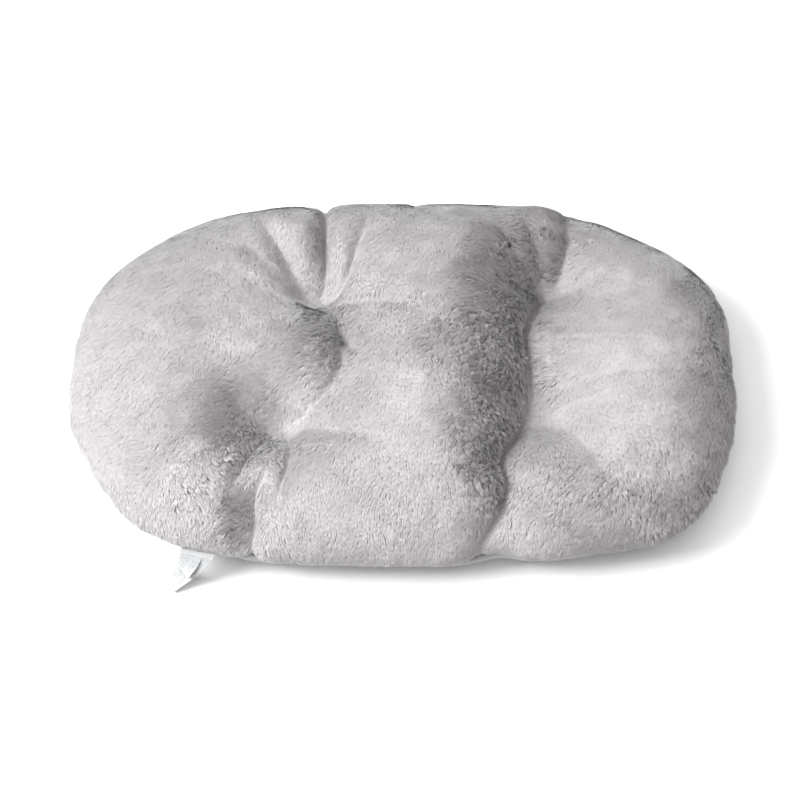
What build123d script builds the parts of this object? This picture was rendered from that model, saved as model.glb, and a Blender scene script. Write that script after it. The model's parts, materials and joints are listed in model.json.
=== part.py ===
"""Oval tufted pet cushion: a plush top panel and a woven underside sewn together round the edge, stuffed with
polyester fibre, and drawn in by four stitched tufts. Two satin labels are sewn into the front left of the seam.

Millimetres, +Z up, X along the length. The origin is the middle of the flat patch that rests on the floor.
"""
from build123d import *
import math
import os

# Driving dimensions of the stuffed cushion
LENGTH = 650.0
WIDTH = 415.0
CROWN_HEIGHT = 98.0
SEAM_HEIGHT = 36.0
OVAL_POWER = 2.9  # 2 is an ellipse, and higher powers are squarer
TOP_REACH = 120.0  # how far the top curves in from the seam before it levels out
BOTTOM_REACH = 46.0  # the same for the underside, down to the floor

# Cloth
PLUSH_THICKNESS = 4.0  # knitted backing with its pile pressed flat
UNDERSIDE_THICKNESS = 1.2
ALLOWANCE_WIDTH = 10.0  # seam allowance, turned inwards
ALLOWANCE_THICKNESS = 1.0
CLEARANCE = 0.3  # between the filling and the cloth round it

# Tufts, set by hand and so a little out of square
TUFTS = {
    "back_left": (-82.0, 77.0),
    "back_right": (149.0, 95.0),
    "front_left": (-110.0, -70.0),
    "front_right": (128.0, -52.0),
}
PIT_FLOOR_TOP = 56.0  # height of the cloth at the bottom of a top pit
PIT_RADIUS_TOP = 62.0
PIT_FLOOR_BOTTOM = 12.0
PIT_RADIUS_BOTTOM = 42.0
PIT_SEAT_RADIUS = 8.0  # flat bottom of each pit, where the bar tack lies
TIE_RADIUS = 1.2
TACK_LENGTH = 11.0
TACK_WIDTH = 3.0
TACK_HEIGHT = 1.6

# Stitching
THREAD = 0.8
STITCH_INSET = 5.0  # seam stitching, in from the fold of the seam
OPENING_X = 70.0  # middle of the hand-closed opening, on the back edge
OPENING_STITCHES = 16
OPENING_PITCH = 8.0
OPENING_STITCH_HEIGHT = 7.0

# Labels, sewn in aslant: each slant is in degrees from square to the seam
LABEL_X = -182.0  # middle of the care label's sewn end
LABEL_CLOTH = 0.4
LABEL_DROOP = 54.0  # degrees below level, where the care label's end rests near the floor
CARE_LABEL_LENGTH = 48.0
CARE_LABEL_WIDTH = 20.0
CARE_LABEL_SLANT = 40.0
SIZE_LABEL_LENGTH = 22.0
SIZE_LABEL_WIDTH = 20.0
SIZE_LABEL_SLANT = 24.0
SIZE_LABEL_SHIFT = -8.0  # along the seam from the care label, which lies over it
LABEL_GAP = 0.6  # between the two labels
LABEL_STANDOFF = 1.0  # from the seam to the labels' sewn end

OVAL_POINTS = 40
DOME_SECTIONS = 6

HALF_LENGTH = LENGTH / 2
HALF_WIDTH = WIDTH / 2


def oval_point(half_length, half_width, angle):
    """A point on the oval in the direction of that angle from its middle."""
    c = abs(math.cos(angle)) / half_length
    s = abs(math.sin(angle)) / half_width
    radius = (c**OVAL_POWER + s**OVAL_POWER) ** (-1 / OVAL_POWER)
    return radius * math.cos(angle), radius * math.sin(angle)


def oval(inset, z):
    """The cushion's oval as a flat face at height z, that far in from the seam."""
    angles = [2 * math.pi * i / OVAL_POINTS for i in range(OVAL_POINTS)]
    points = [oval_point(HALF_LENGTH - inset, HALF_WIDTH - inset, a) for a in angles]
    edge = Spline(*[(x, y, z) for x, y in points], periodic=True)
    return make_face(edge)


def dome(end_height, reach, skin):
    """Half a pillow, from the seam's plane to end_height, less a skin of that thickness."""
    rise = end_height - SEAM_HEIGHT
    rise -= math.copysign(skin, rise)
    sections = []
    for i in range(DOME_SECTIONS):
        turn = math.pi / 2 * i / (DOME_SECTIONS - 1)
        inset = skin + reach * (1 - math.cos(turn))
        sections.append(oval(inset, SEAM_HEIGHT + rise * math.sin(turn)))
    if rise < 0:
        sections.reverse()
    return loft(sections)


def pit(x, y, floor_height, open_height, radius, skin):
    """A round funnel that flares smoothly from its flat floor to the open end."""
    outward = math.copysign(1, open_height - floor_height)
    floor_z = floor_height - outward * skin
    open_z = open_height + outward
    seat = PIT_SEAT_RADIUS + skin
    mouth = radius + skin
    with BuildPart() as funnel:
        with BuildSketch(Plane.XZ):
            with BuildLine():
                Line((0, floor_z), (seat, floor_z))
                Spline(
                    (seat, floor_z),
                    (mouth, open_z),
                    tangents=((0.35, outward), (1, 0.12 * outward)),
                )
                Line((mouth, open_z), (0, open_z))
                Line((0, open_z), (0, floor_z))
            make_face()
        revolve(axis=Axis.Z)
    return funnel.part.moved(Location((x, y, 0)))


def pits(skin_top, skin_bottom):
    """The eight funnels that the ties pull into the top and the underside."""
    found = []
    for x, y in TUFTS.values():
        found.append(pit(x, y, PIT_FLOOR_TOP, CROWN_HEIGHT, PIT_RADIUS_TOP, skin_top))
        found.append(pit(x, y, PIT_FLOOR_BOTTOM, 0, PIT_RADIUS_BOTTOM, skin_bottom))
    return found


def rod(x, y, low, high, radius):
    """An upright round rod."""
    return extrude(Plane((x, y, low)) * Circle(radius), high - low)


def ring(inset, width, low, high):
    """A flat band that follows the oval."""
    return extrude(oval(inset, low) - oval(inset + width, low), high - low)


def thread_holes(radius):
    """The four holes that the ties pass through."""
    return [rod(x, y, 0, CROWN_HEIGHT, radius) for x, y in TUFTS.values()]


def plush_top_panel():
    """The plush panel from the seam up, with its pits, and its allowance turned inwards."""
    outer = dome(CROWN_HEIGHT, TOP_REACH, 0) - pits(0, 0)
    inner = dome(CROWN_HEIGHT, TOP_REACH, PLUSH_THICKNESS) - pits(PLUSH_THICKNESS, UNDERSIDE_THICKNESS)
    allowance = ring(
        PLUSH_THICKNESS / 2,
        PLUSH_THICKNESS / 2 + ALLOWANCE_WIDTH,
        SEAM_HEIGHT,
        SEAM_HEIGHT + ALLOWANCE_THICKNESS,
    )
    return (outer - inner) + allowance - thread_holes(TIE_RADIUS)


def underside_panel():
    """The woven panel from the seam down to the floor, with its pits and its allowance."""
    outer = dome(0, BOTTOM_REACH, 0) - pits(0, 0)
    inner = dome(0, BOTTOM_REACH, UNDERSIDE_THICKNESS) - pits(PLUSH_THICKNESS, UNDERSIDE_THICKNESS)
    allowance = ring(
        UNDERSIDE_THICKNESS / 2,
        PLUSH_THICKNESS + ALLOWANCE_WIDTH - UNDERSIDE_THICKNESS / 2,
        SEAM_HEIGHT - ALLOWANCE_THICKNESS,
        SEAM_HEIGHT,
    )
    return (outer - inner) + allowance - thread_holes(TIE_RADIUS)


def fibre_filling():
    """The stuffing, clear of the cloth, the allowances and the threads."""
    top_skin = PLUSH_THICKNESS + CLEARANCE
    bottom_skin = UNDERSIDE_THICKNESS + CLEARANCE
    # The two halves meet a little below the seam's plane, so that they join as one solid.
    halves = dome(CROWN_HEIGHT, TOP_REACH, top_skin) + dome(0, BOTTOM_REACH, bottom_skin)
    notch_half = ALLOWANCE_THICKNESS + THREAD + CLEARANCE
    notch = ring(
        -1,
        PLUSH_THICKNESS + ALLOWANCE_WIDTH + CLEARANCE + 1,
        SEAM_HEIGHT - notch_half,
        SEAM_HEIGHT + notch_half,
    )
    shaped = halves - pits(top_skin, bottom_skin) - notch
    return shaped - thread_holes(TIE_RADIUS + CLEARANCE)


def seam_stitching():
    """The needle thread above the two allowances and the bobbin thread below them, all the way round."""
    inset = PLUSH_THICKNESS + STITCH_INSET
    needle_low = SEAM_HEIGHT + ALLOWANCE_THICKNESS
    bobbin_high = SEAM_HEIGHT - ALLOWANCE_THICKNESS
    needle = ring(inset, THREAD, needle_low, needle_low + THREAD)
    bobbin = ring(inset, THREAD, bobbin_high - THREAD, bobbin_high)
    return Compound(children=[needle, bobbin])


def opening_stitching():
    """The hand stitches that close the opening in the back edge, side by side across the seam."""
    stitches = []
    standoff = THREAD / 2 + 0.05
    for i in range(OPENING_STITCHES):
        x = OPENING_X + (i - (OPENING_STITCHES - 1) / 2) * OPENING_PITCH
        y = edge_y(x) + standoff
        low = SEAM_HEIGHT - OPENING_STITCH_HEIGHT / 2
        stitches.append(rod(x, y, low, low + OPENING_STITCH_HEIGHT, THREAD / 2))
    return Compound(children=stitches)


def tuft_tie(x, y):
    """One tuft's thread, through all the layers, with a bar tack in each pit."""
    low = PIT_FLOOR_BOTTOM - TACK_HEIGHT
    shank = rod(x, y, low, PIT_FLOOR_TOP + TACK_HEIGHT, TIE_RADIUS)
    tack = Location((x, y, 0)) * Rectangle(TACK_LENGTH, TACK_WIDTH)
    top_tack = extrude(Location((0, 0, PIT_FLOOR_TOP)) * tack, TACK_HEIGHT)
    bottom_tack = extrude(Location((0, 0, low)) * tack, TACK_HEIGHT)
    return shank + top_tack + bottom_tack


def edge_y(x):
    """How far the seam is from the long axis at x."""
    share = (abs(x) / HALF_LENGTH) ** OVAL_POWER
    return HALF_WIDTH * (1 - share) ** (1 / OVAL_POWER)


def label_plane(lift):
    """The labels' plane at the front seam: x along the seam, y up the droop towards the seam, z its face."""
    step = 1.0
    slope = (edge_y(LABEL_X + step) - edge_y(LABEL_X - step)) / (2 * step)
    along = Vector(1, -slope, 0).normalized()
    outward = Vector(along.Y, -along.X, 0)
    droop = math.radians(LABEL_DROOP)
    down = outward * math.cos(droop) - Vector(0, 0, math.sin(droop))
    face = along.cross(-down)
    root = Vector(LABEL_X, -edge_y(LABEL_X), SEAM_HEIGHT) + outward * LABEL_STANDOFF
    return Plane(origin=root + face * lift, x_dir=along, z_dir=face)


def label(length, width, slant, shift, lift):
    """A thin satin label that hangs from the seam, cut square at its free end and aslant where it is sewn."""
    turn = math.radians(slant)
    sewn_half = width / 2 / math.cos(turn)
    end_x = shift - length * math.sin(turn)
    end_y = -length * math.cos(turn)
    corner_x = width / 2 * math.cos(turn)
    corner_y = width / 2 * math.sin(turn)
    outline = Polyline(
        (shift - sewn_half, 0),
        (shift + sewn_half, 0),
        (end_x + corner_x, end_y - corner_y),
        (end_x - corner_x, end_y + corner_y),
        close=True,
    )
    return extrude(label_plane(lift) * make_face(outline), LABEL_CLOTH)


def save(shape, name):
    export_step(shape, os.path.join("parts", name + ".step"))


def main():
    os.makedirs("parts", exist_ok=True)
    save(plush_top_panel(), "plush_top_panel")
    save(underside_panel(), "underside_panel")
    save(fibre_filling(), "fibre_filling")
    save(seam_stitching(), "seam_stitching")
    save(opening_stitching(), "opening_stitching")
    for place, (x, y) in TUFTS.items():
        save(tuft_tie(x, y), "tuft_tie_" + place)
    care_label = label(CARE_LABEL_LENGTH, CARE_LABEL_WIDTH, CARE_LABEL_SLANT, 0, 0)
    under_care_label = -(LABEL_CLOTH + LABEL_GAP)
    size_label = label(
        SIZE_LABEL_LENGTH, SIZE_LABEL_WIDTH, SIZE_LABEL_SLANT, SIZE_LABEL_SHIFT, under_care_label
    )
    save(care_label, "care_label")
    save(size_label, "size_label")
    hinge = label_plane(0)
    print("label hinge at", hinge.origin, "along", hinge.x_dir)


main()
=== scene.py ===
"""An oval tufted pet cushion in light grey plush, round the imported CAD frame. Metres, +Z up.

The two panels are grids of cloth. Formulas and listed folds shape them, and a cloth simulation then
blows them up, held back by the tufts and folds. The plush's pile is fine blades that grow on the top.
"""
import itertools
import json
import math
from collections import namedtuple

import bpy
import numpy as np
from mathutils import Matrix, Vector
from mathutils.kdtree import KDTree


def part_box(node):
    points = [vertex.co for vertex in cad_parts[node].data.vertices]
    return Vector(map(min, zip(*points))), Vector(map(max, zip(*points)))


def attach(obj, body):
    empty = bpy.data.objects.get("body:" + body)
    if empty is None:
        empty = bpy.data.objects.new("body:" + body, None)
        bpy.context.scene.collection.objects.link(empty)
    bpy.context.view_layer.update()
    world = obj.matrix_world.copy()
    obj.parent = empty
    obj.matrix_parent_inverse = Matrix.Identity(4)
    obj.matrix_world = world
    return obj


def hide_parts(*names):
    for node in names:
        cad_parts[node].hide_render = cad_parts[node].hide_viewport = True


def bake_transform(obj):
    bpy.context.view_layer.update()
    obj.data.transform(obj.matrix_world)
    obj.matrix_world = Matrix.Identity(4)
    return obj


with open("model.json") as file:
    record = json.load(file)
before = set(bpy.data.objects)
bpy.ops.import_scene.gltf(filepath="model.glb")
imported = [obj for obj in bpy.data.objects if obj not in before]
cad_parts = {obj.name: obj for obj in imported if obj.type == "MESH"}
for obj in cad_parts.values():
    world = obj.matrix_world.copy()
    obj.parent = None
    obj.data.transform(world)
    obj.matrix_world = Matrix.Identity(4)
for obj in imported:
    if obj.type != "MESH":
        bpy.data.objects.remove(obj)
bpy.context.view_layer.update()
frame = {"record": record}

MM = 0.001

# Sizes and places from the frame
panel_low, panel_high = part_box("plush_top_panel")
PILE_STANDS = 2 * MM  # how far the pile's tips stand out from the cloth
HALF_LENGTH = (panel_high.x - panel_low.x) / 2 - PILE_STANDS
HALF_WIDTH = (panel_high.y - panel_low.y) / 2 - PILE_STANDS
SEAM_Z = panel_low.z
CROWN_Z = panel_high.z - PILE_STANDS
TUFTS = {}  # where each tuft's thread goes down through the cushion
for tie in ("back_left", "back_right", "front_left", "front_right"):
    low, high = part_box("tuft_tie_" + tie)
    TUFTS[tie] = np.array([(low.x + high.x) / 2, (low.y + high.y) / 2])

# The cushion's shape
OVAL_POWER = 2.9
OVAL_SAMPLES = 1441
CELL = 5.4 * MM
TOP_REACH = 118 * MM  # how far in from the seam each panel curves before it levels out
BOTTOM_REACH = 46 * MM
TUFT_FLOOR_TOP = 42 * MM  # the heights that the ties draw the panels to
TUFT_FLOOR_BOTTOM = 12 * MM
TUFT_SPREAD_TOP = 34 * MM
TUFT_SPREAD_BOTTOM = 20 * MM
TUFT_SHARPNESS = 0.9
SEAM_PINCH = 2.5 * MM  # how far the stitching draws the seam in
PINCH_WIDTH = 5 * MM
PUCKER_DEPTH = 3 * MM  # gathers along the seam, which run straight away from the stitches
PUCKER_WIDTH = 11 * MM
PUCKER_START = 4 * MM
PUCKER_REACH = 14 * MM
UNDER_TUCK = 3 * MM  # how much further in the underside starts than the plush
ALLOWANCE = 10 * MM
ALLOWANCE_GAP = 0.6 * MM  # from the seam's plane to each allowance

# Where the cushion's outline leaves the oval: direction and spread in degrees, and how far out it goes in
# millimetres. Further in from the seam it fades.
OUTLINE = (
    (152, 13, -11), (-158, 10, -12), (52, 7, 6), (31, 8, -6),
    (11, 8, 6), (-18, 6, -3), (-35, 9, 10), (-65, 6, -7),
)
OUTLINE_FADE = 1.5

# Broad swellings and hollows of the top, in millimetres: x, y, length along their own axis, width, turn in
# degrees, height
LOBES = (
    (-200, 15, 90, 120, 0, 4),
    (40, 20, 60, 110, -8, 11),
    (50, -95, 50, 60, 0, 8),
    (200, 5, 60, 110, 0, 3),
)

# Folds of the top, in millimetres: points as x, y and depth, then the widths of the left and right banks,
# how sharp the bottom is, and how much deeper a slit along the bottom is
FOLDS = {
    "right_crease_back": (((173, 187, 10), (172, 145, 18), (163, 111, 22), (149, 91, 18)), (40, 14, 1.1, 3)),
    "right_crease_middle": (
        ((149, 91, 20), (135, 66, 28), (123, 38, 34), (121, 20, 36), (123, -3, 34), (123, -29, 30),
         (125, -47, 20)),
        (50, 17, 1.2, 14)),
    "right_crease_front": (
        ((125, -51, 20), (110, -78, 28), (94, -106, 30), (91, -123, 28), (95, -136, 26), (91, -163, 22),
         (80, -182, 18), (66, -203, 10)),
        (32, 17, 1.1, 11)),
    "left_valley": (
        ((-82, 77, 12), (-66, 51, 15), (-56, 29, 16), (-55, 5, 15), (-57, -15, 15), (-66, -34, 15),
         (-82, -50, 14), (-112, -68, 12)),
        (36, 14, 1.0, 1)),
    "back_left_up": (
        ((-82, 77, 10), (-77, 94, 16), (-76, 116, 24), (-78, 143, 30), (-78, 170, 27), (-79, 196, 14)),
        (13, 8, 1.2, 6)),
    "back_left_up_west": (
        ((-85, 78, 10), (-98, 88, 15), (-113, 113, 17), (-134, 148, 12), (-150, 176, 2)), (13, 14, 1.4, 1)),
    "back_left_far": (((-100, 84, 3), (-133, 106, 7), (-158, 130, 6), (-176, 156, 1)), (12, 13, 1.6, 0)),
    "back_left_side": (
        ((-90, 77, 6), (-116, 72, 8), (-138, 76, 8), (-156, 85, 5), (-174, 98, 1)), (14, 12, 1.5, 0)),
    "back_left_up_east": (
        ((-79, 78, 6), (-64, 81, 10), (-55, 94, 13), (-47, 116, 12), (-40, 140, 6), (-32, 177, 3)),
        (8, 8, 1.0, 2)),
    "front_left_corner": (
        ((-113, -71, 12), (-124, -80, 18), (-138, -104, 20), (-149, -130, 14), (-158, -151, 2)),
        (10, 22, 1.1, 2)),
    "front_left_groove": (
        ((-109, -74, 10), (-103, -98, 18), (-104, -120, 18), (-108, -140, 13), (-114, -161, 2)),
        (8, 18, 1.1, 2)),
    "front_left_down": (
        ((-124, -125, 2), (-131, -144, 18), (-133, -160, 26), (-131, -177, 26), (-133, -189, 22),
         (-136, -203, 12)),
        (8, 22, 1.1, 3)),
    "front_left_wedge": (
        ((-112, -68, 10), (-130, -70, 12), (-146, -74, 10), (-164, -83, 7), (-183, -91, 2)),
        (10, 22, 1.0, 2)),
    "front_left_soft": (((-123, -62, 5), (-142, -55, 6), (-167, -39, 3)), (16, 18, 1.6, 0)),
    "middle_back": (
        ((-76, 73, 4), (-50, 67, 5), (-28, 61, 5), (-3, 52, 3), (28, 37, 1)), (9, 8, 1.2, 0)),
    "middle_short": (((-61, 26, 6), (-49, 12, 6), (-37, -2, 1)), (6, 8, 1.1, 1)),
    "middle_front": (((-108, -70, 7), (-84, -73, 6), (-56, -85, 4), (-19, -95, 1)), (10, 10, 1.3, 0)),
    "back_right_fan": (((147, 90, 10), (128, 88, 12), (102, 88, 10), (72, 95, 2)), (10, 22, 1.0, 1)),
    "back_right_fan_up": (((148, 95, 4), (143, 117, 4), (134, 143, 3), (128, 181, 1)), (10, 16, 1.3, 1)),
    "back_right_fan_left": (((146, 94, 5), (131, 107, 6), (114, 125, 6), (103, 151, 2)), (10, 14, 1.3, 1)),
    "front_right_groove": (
        ((127, -54, 10), (150, -68, 12), (168, -94, 11), (181, -117, 7), (189, -139, 1)), (12, 26, 1.1, 0)),
    "back_notch": (((16, 201, 6), (14, 169, 3)), (8, 8, 1.2, 0)),
}
FOLD_AT_SEAM = 0.35  # the share of its depth that a fold keeps at the seam
SLIT_WIDTH = 4.5 * MM
PRESSED_AFTER = 0.40  # the share of each fold that is pressed in after the simulation has softened the rest
PRESSED_CLEAR = 12 * MM  # how near to the ties that share fades out

# How firmly the simulation holds the cloth, from 0 to 1
FOLD_HOLDS = 0.85
FOLD_HOLDS_AT = 14 * MM  # the depth at which a fold would hold it fast
SEAM_HOLDS = 0.6
SEAM_HOLDS_TO = 0.3  # the share of the climb from the seam over which the seam's hold fades
TIE_HOLDS = 0.86  # the share of a tuft's depth from which the cloth is held fast
FLAT_HOLDS = 0.5 * MM  # the underside is held fast where it is lower than this

# Cloth simulation
SIMULATED_FRAMES = 18
HELD_ABOVE = 0.01
PRESSURE = 3.0
FURTHEST_MOVE = 14 * MM

# Pile
PILE_PIECES = 6
BLADES_IN_A_PIECE = 64000
BLADE_LENGTH = 6.5 * MM
BLADE_SHORTEST = 0.8  # as a share of that
RUFFLED_LONGER = 0.30  # how much longer a blade is where it is ruffled
BLADE_WIDTH = 0.78 * MM
BLADE_BEND = 0.45  # where along a blade its middle is
BLADE_ROLL = 1.6  # how much more a blade rolls than it strays
ROOTS = (-0.5, 1.0)  # the lowest and highest of ruffled roots, in millimetres
CLUMPS = 26000  # bunches of blades whose tips lean together
CLUMP_LIFT = 0.50  # how much more some of them stand up than others
CLUMP_LEAN = 0.6  # how much of its clump's straying a blade shares
MIDDLE_PULL = 0.35  # how far that pulls a blade's middle, as a share of its tip
BRUSHED = math.radians(-110)  # the direction in which the pile is brushed
DOWNHILL = 2.0  # how strongly the pile on a steep side lies downhill
SLIT_SHORTENS = 0.65  # how much of its length a blade loses at the bottom of a slit
SLIT_SHORTENS_AT = 4 * MM
CLOTH_SHARE = 0.96  # how much of a blade's shading follows the cloth under it
RUFFLED_OWN = 0.45  # how much less it does where it is ruffled
NAP = 0.42  # how far brushing turns that shading, as on velvet
TIP_TONES = (0.385, 0.411, 0.437, 0.463, 0.489, 0.515, 0.541, 0.567)
MIDDLE_TONE = 0.48
CLUMP_TONES_AND_GLINTS = 0.065  # how far a ruffled clump's tone strays, its brighter side a painted glint
# Painted shade: the lower halves of blades take darker copies of the tip tones where the pile is ruffled
ROOT_PAINTED_SHADE = 0.90
PAINTED_SHADE_ROOTS = (0.15, 0.45)  # how ruffled it is where the first and the last of its roots get painted shade
PILE_TINT = 0.948  # the pile's green and blue, as a share of its red

# Layers of noise, each with its amount, grain in metres and seed
SWIRLS = ((0.9, 0.12, 1), (0.7, 0.040, 2), (0.45, 0.013, 9))
RUFFLE_SWELLS = ((0.09, 0.060, 3),)
RUFFLE_BREAKS = ((0.5, 0.012, 4),)
TONE_SWELLS = ((0.022, 0.045, 8), (0.014, 0.010, 7))

# How ruffling changes the pile: each value where it is brushed flat, and how much full ruffling adds
CLUMP_ASTRAY = (0.02, 0.6)
BLADE_ASTRAY = (0.03, 0.13)
ROOT_LIFT = (0.09, 0.75)  # radians from the cloth
TIP_LIFT = (0.02, 0.45)
ROOT_HEIGHT = (0.15, 0.6)
CLUMP_PULL = (0.02, 0.36)
TONE_STRAY = (0.013, 0.036)

# Where the pile is ruffled: x, y, half width and half depth in millimetres, how much it is ruffled, and how
# far it is turned against the nap
RUFFLED = (
    (88, 16, 30, 78, 0.85, 0.65),
    (32, 4, 26, 32, 0.4, 0.75),
    (120, 0, 12, 60, 0, 0.4),
    (75, -120, 28, 50, 0.5, 0.2),
    (-185, -140, 55, 45, 0.26, -0.6),
    (-150, -165, 13, 35, 0.35, 0.9),
    (195, -150, 85, 35, 0.5, 0.15),
    (-80, 20, 26, 45, 0.4, 0.35),
    (-145, -90, 30, 40, 0.2, 0),
    (-165, 70, 55, 75, 0.02, -0.65),
    (105, 122, 34, 30, 0.45, 0.75),
    (148, 140, 24, 45, 0.55, 1.0),
    (140, 2, 15, 52, 0.5, 0.95),
    (50, 185, 70, 35, 0, -0.22),
    (-30, -125, 80, 55, 0.02, -0.45),
    (-20, 30, 60, 80, 0.12, -0.25),
    (300, 0, 25, 120, 0.2, -0.2),
    (215, 20, 70, 90, -0.15, 0),
)
AGAINST_THE_NAP = 90  # degrees from the way the pile is brushed to the way it is turned against the nap
SLOPES_AGAINST = 0.5  # how much further against the nap it is where the cloth faces right
RUFFLED_ALL_OVER = 0.21
LEAST_RUFFLED = 0.02
RUFFLED_SLOPES = 0.25  # how much more it is ruffled where the cloth faces right and to the front

# Stitching
THREAD = 0.4 * MM  # radius
PLIES = 3
PLY_PITCH = 5  # the length of a ply's turn, in radii of the thread
SEAM_STITCH = 3.2 * MM
STITCH_INSET = 9 * MM
OPENING_STITCHES = 16
TACK_LENGTH = 9 * MM
TACK_WIDTH = 2.4 * MM
TACK_STRANDS = 5
TACK_WRAPS = 9

# Labels
LABEL_CLOTH = 0.35 * MM
LABEL_CELL = 0.5 * MM
LABEL_TAIL = 6 * MM  # how far the labels reach into the seam
LABEL_SLANT = math.radians(15)  # how far from square to its length a label is cut
LABEL_CURL = 0.7 * MM  # how much a label's sides rise at its end
LABEL_WAVE = 0.5 * MM
PRINT_ROWS = 8
PRINT_DASHES = 14

# Each label's length and width, turn from square to the seam in degrees, shift along the seam, droop at the
# seam and at its end in degrees, and how much lower than the hinge it is sewn
LABELS = {
    "care_label": (48 * MM, 20 * MM, 55, 0, 61, 31, 0),
    "size_label": (22 * MM, 20 * MM, 37, -8 * MM, 64, 42, 1.0 * MM),
}

# Camera
LOOKING_DOWN = math.radians(59)
CAMERA_DISTANCE = 1.25
CAMERA_AIM = Vector((-1 * MM, 0, 40 * MM))
CAMERA_LOWERED = 27 * MM  # how far below that the view is centred
SENSOR = 36  # millimetres
LENS = 57.4

# Lights: name, place, side of the square, power in watts, colour
LIGHTS = (
    ("window_left", (-1.75, -0.15, 1.65), 1.2, 84, (0.96, 0.99, 1.0)),
    ("overhead", (-0.2, -0.1, 2.5), 2.5, 41, (1.0, 1.0, 1.0)),
)
ROOM_LIGHT = 0.43
FLOOR_REACH = 6


def metres(millimetres):
    """Metres for a number or a table in millimetres."""
    return np.asarray(millimetres) / 1000


# --- Noise ---

LATTICE = 32
LATTICE_SHIFT = 1000.0  # keeps its corner away from the object


def noise(points, grain, seed):
    """Smooth noise from -1 to 1 over points in three dimensions, with swells about as wide as grain."""
    lattice = np.random.default_rng(seed).uniform(-1, 1, (LATTICE, LATTICE, LATTICE))
    spot = np.asarray(points) / grain + LATTICE_SHIFT
    corner = np.floor(spot).astype(int)
    part = spot - corner
    part = part * part * (3 - 2 * part)
    total = np.zeros(len(spot))
    for step in itertools.product((0, 1), repeat=3):
        share = np.abs(1 - np.array(step) - part)
        i, j, k = ((corner + step) % LATTICE).T
        total += share[:, 0] * share[:, 1] * share[:, 2] * lattice[i, j, k]
    return total


# --- The two panels ---

def fabric_across(reach, rise):
    """The cloth's length from the seam to the long axis, and the curve of inset and climb along it."""
    turn = np.linspace(0, math.pi / 2, 200)
    inset = reach * (1 - np.cos(turn))
    climb = rise * np.sin(turn)
    steps = np.hypot(np.diff(inset), np.diff(climb))
    along = np.concatenate([[0], np.cumsum(steps)])
    total = along[-1] + HALF_WIDTH - reach
    return total, np.append(along, total), np.append(inset, HALF_WIDTH), np.append(climb, rise)


def oval_points(inset, count, start):
    """Points evenly round the outline, that far in from the seam. start is 0 at its front middle."""
    angle = np.linspace(-math.pi / 2, 1.5 * math.pi, OVAL_SAMPLES)
    c = np.cos(angle)
    s = np.sin(angle)
    x = (HALF_LENGTH - inset) * np.sign(c) * np.abs(c) ** (2 / OVAL_POWER)
    y = max(HALF_WIDTH - inset, 0) * np.sign(s) * np.abs(s) ** (2 / OVAL_POWER)
    way = np.degrees(np.arctan2(y, x))
    out = np.zeros(len(way))
    for center, spread, amount in OUTLINE:
        out += metres(amount) * np.exp(-(((way - center + 180) % 360 - 180) / spread) ** 2)
    out *= (1 - inset / HALF_WIDTH) ** OUTLINE_FADE
    x = x + out * np.cos(np.radians(way))
    y = y + out * np.sin(np.radians(way))
    along = np.concatenate([[0], np.cumsum(np.hypot(np.diff(x), np.diff(y)))])
    wanted = (start + np.arange(count) / count) % 1 * along[-1]
    return np.interp(wanted, along, x), np.interp(wanted, along, y)


TOP_RISE = CROWN_Z - SEAM_Z
ACROSS = 2 * round(fabric_across(TOP_REACH, TOP_RISE)[0] / CELL)
ALONG = ACROSS + round(2 * (HALF_LENGTH - HALF_WIDTH) / CELL)


def ring_cells(ring):
    """The grid places of one ring, counterclockwise from its front left corner."""
    left, right = ring, ALONG - ring
    front, back = ring, ACROSS - ring
    cells = [(i, front) for i in range(left, right)]
    cells += [(right, j) for j in range(front, back)]
    cells += [(i, back) for i in range(right, left, -1)]
    cells += [(left, j) for j in range(back, front, -1)]
    return cells


def panel_grid(reach, rise, tuck=0):
    """A panel as a grid of points: rings from the seam to the long axis, evenly spaced along the cloth."""
    total, along, inset_curve, climb_curve = fabric_across(reach, rise)
    grid = np.zeros((ALONG + 1, ACROSS + 1, 3))
    rings = ACROSS // 2
    for ring in range(rings + 1):
        here = total * ring / rings
        pinched = math.exp(-here / PINCH_WIDTH)
        inset = np.interp(here, along, inset_curve) + SEAM_PINCH * pinched + tuck * (1 - pinched)
        inset = min(inset, HALF_WIDTH)
        cells = ring_cells(ring)
        front_share = (ALONG - 2 * ring) / len(cells)
        x, y = oval_points(inset, len(cells), -front_share / 2)
        i, j = np.array(cells).T
        grid[i, j, 0] = x
        grid[i, j, 1] = y
        grid[i, j, 2] = SEAM_Z + np.interp(here, along, climb_curve)
    return grid


def grid_normals(grid, up):
    """Unit normals of a grid, on its upper side for up of 1 and on its lower side for -1."""
    return up * unit(np.cross(np.gradient(grid, axis=0), np.gradient(grid, axis=1)))


def smooth_path(points, pieces=10):
    """A Catmull-Rom curve through the points."""
    ends = np.vstack([2 * points[0] - points[1], points, 2 * points[-1] - points[-2]])
    curve = []
    for k in range(len(points) - 1):
        a, b, c, d = ends[k:k + 4]
        for t in np.arange(pieces) / pieces:
            curve.append(0.5 * (2 * b + (c - a) * t + (2 * a - 5 * b + 4 * c - d) * t**2
                                + (3 * b - a - 3 * c + d) * t**3))
    curve.append(points[-1])
    return np.array(curve)


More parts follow.
